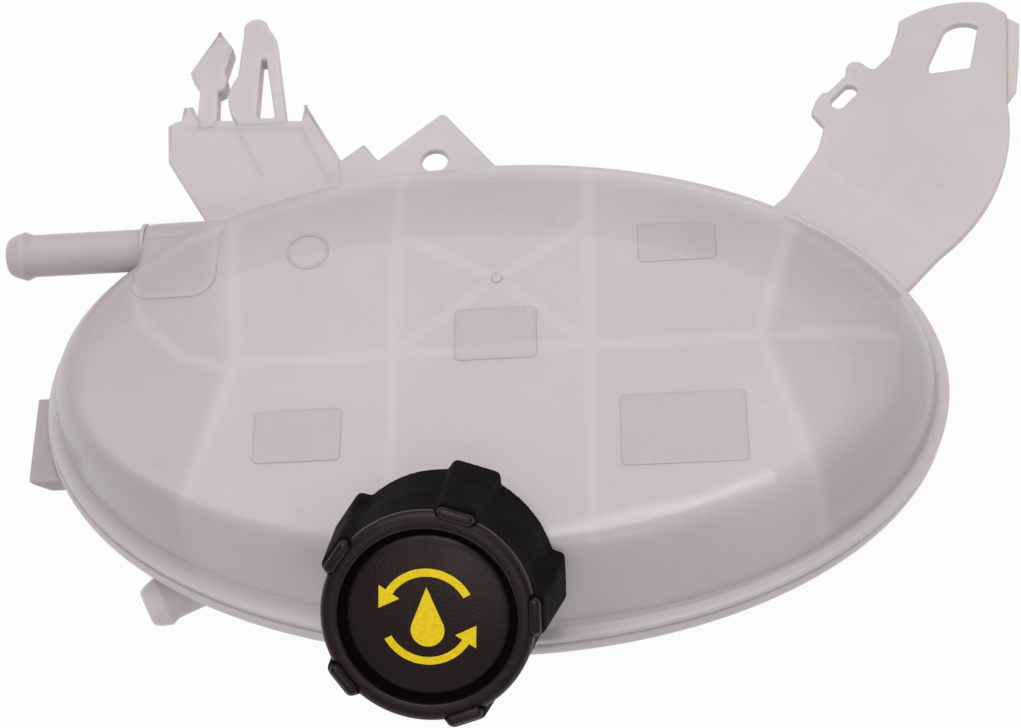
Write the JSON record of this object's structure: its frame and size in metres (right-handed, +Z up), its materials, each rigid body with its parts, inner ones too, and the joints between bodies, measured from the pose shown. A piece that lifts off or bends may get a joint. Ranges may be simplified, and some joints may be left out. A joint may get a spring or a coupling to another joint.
{
  "type": "coolant expansion tank",
  "caption": "Oval translucent coolant expansion tank welded from two half shells, with a tilted filler neck, lugged screw cap with valves, hose spigots and snap brackets.",
  "frame": {"origin": "on the flat back, below the middle of the weld flange", "axes": "+X along the tank away from the inlet pipe, -Y towards the screw cap, +Z up through the crown, normal to the weld flange"},
  "size_m": [0.3186, 0.2733, 0.1168],
  "materials": {
    "tank_plastic": "milky natural polypropylene with a soft sheen",
    "cap_plastic": "fine-grained black moulding with a satin rim",
    "insert_plastic": "smooth dark grey moulding",
    "seal_rubber": "dull black sealing rubber",
    "valve_steel": "pressed stainless sheet",
    "spring_steel": "drawn spring wire",
    "valve_brass": "turned brass"
  },
  "bodies": {
    "tank": {"upper_shell": "tank_plastic", "lower_shell": "tank_plastic"},
    "cap_insert": {"valve_body": "insert_plastic", "neck_gasket": "seal_rubber", "body_o_ring": "seal_rubber", "seat_ring": "insert_plastic", "pressure_spring": "spring_steel"},
    "cap_cover": {"cap_cover": "cap_plastic"},
    "pressure_valve": {"pressure_plate": "valve_steel", "pressure_seal": "seal_rubber", "vacuum_spring": "spring_steel"},
    "vacuum_valve": {"vacuum_poppet": "valve_brass", "vacuum_seal": "seal_rubber", "vacuum_clip": "valve_steel"}
  },
  "joints": [
    {"name": "cap_lift", "type": "slide", "parent": "tank", "child": "cap_insert", "axis": [-0.0361, -0.6669, 0.7443], "range_m": [0, 0.007]},
    {"name": "cap_turn", "type": "hinge", "parent": "cap_insert", "child": "cap_cover", "pos_m": [-0.01025, -0.09241, 0.08841], "axis": [-0.0361, -0.6669, 0.7443], "range_deg": [0, 630]},
    {"name": "pressure_lift", "type": "slide", "parent": "cap_insert", "child": "pressure_valve", "axis": [-0.0361, -0.6669, 0.7443], "range_m": [0, 0.0025], "stiffness_N_per_m": 400, "deforming": ["pressure_spring"]},
    {"name": "vacuum_drop", "type": "slide", "parent": "pressure_valve", "child": "vacuum_valve", "axis": [0.0361, 0.6669, -0.7443], "range_m": [0, 0.0015], "stiffness_N_per_m": 60, "deforming": ["vacuum_spring"]}
  ],
  "couplings": [
    {"joint": "cap_turn", "follows": "cap_lift", "rad_per_m": 1570.8}
  ]
}
